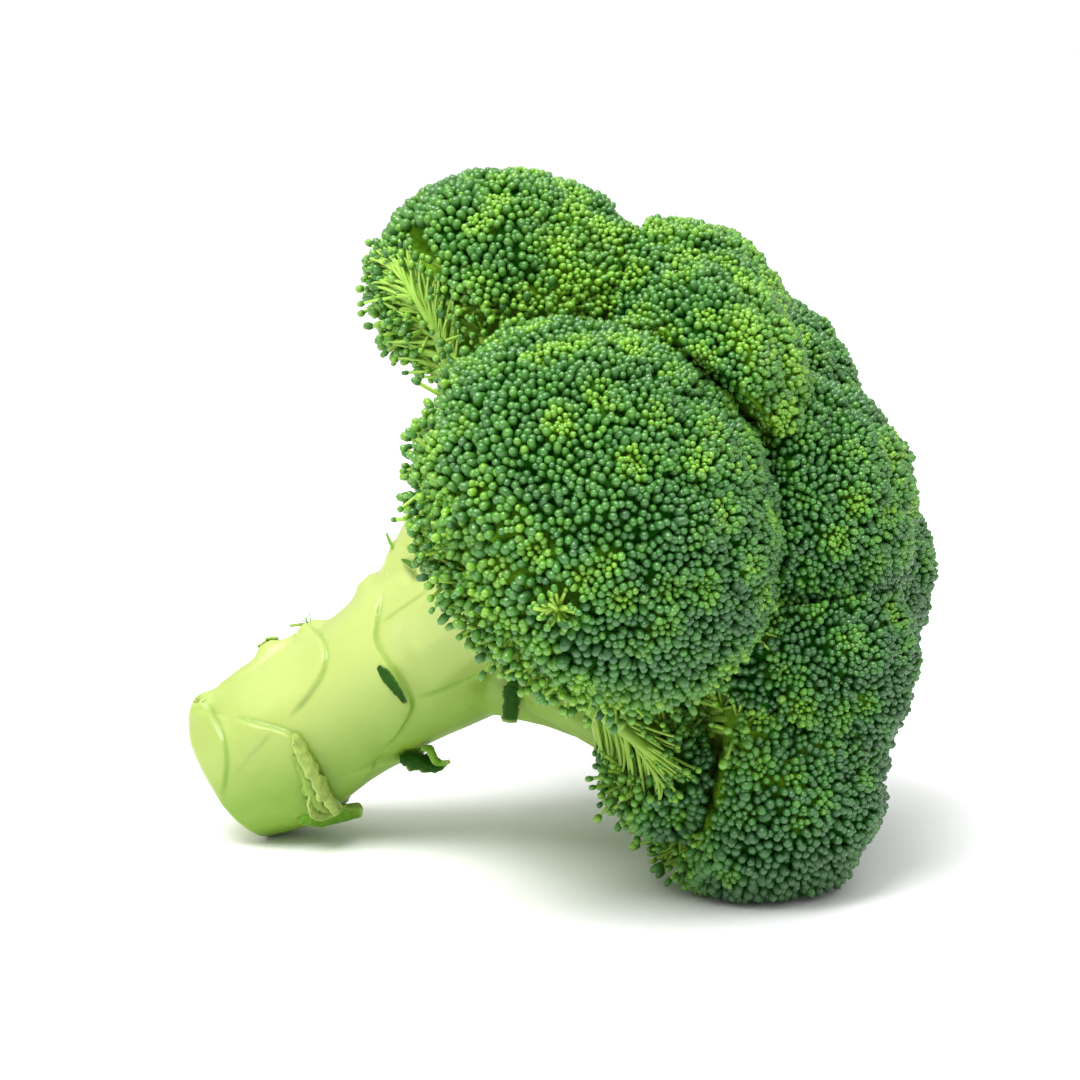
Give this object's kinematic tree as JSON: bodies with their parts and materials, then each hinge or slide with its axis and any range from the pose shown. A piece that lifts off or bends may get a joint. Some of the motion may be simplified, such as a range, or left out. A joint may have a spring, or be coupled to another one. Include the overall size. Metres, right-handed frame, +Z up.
{
  "type": "broccoli head",
  "caption": "Cut broccoli head lying on its side: pale ridged stalk branching into rounded florets of tiny green flower buds.",
  "frame": {"origin": "on the surface it lies on, under the middle of its bounding box", "axes": "+Z up from the surface; +X along the ground from the cut end of the stalk towards the crown; -Y towards the side with the largest floret"},
  "size_m": [0.1499, 0.1524, 0.1373],
  "materials": {
    "stalk": "pale green, smooth and slightly waxy",
    "buds": "deep green flower buds with a bluish wax bloom, yellower between the clusters",
    "leaf": "dark green leaf tissue, pale where it is cut"
  },
  "bodies": {
    "root": {"stalk": "stalk", "front_floret": "buds", "upper_floret": "buds", "lower_front_floret": "buds", "lower_small_floret": "buds", "lower_back_floret": "buds", "back_floret": "buds", "upper_back_floret": "buds", "crown_upper_floret": "buds", "crown_front_floret": "buds", "crown_top_floret": "buds", "crown_lower_floret": "buds", "crown_lower_back_floret": "buds", "crown_back_floret": "buds", "leaf_sliver_base": "leaf", "leaf_sliver_tail": "leaf", "leaf_sliver_lower": "leaf", "leaf_sliver_front": "leaf", "leaf_sliver_neck": "leaf"}
  },
  "joints": []
}
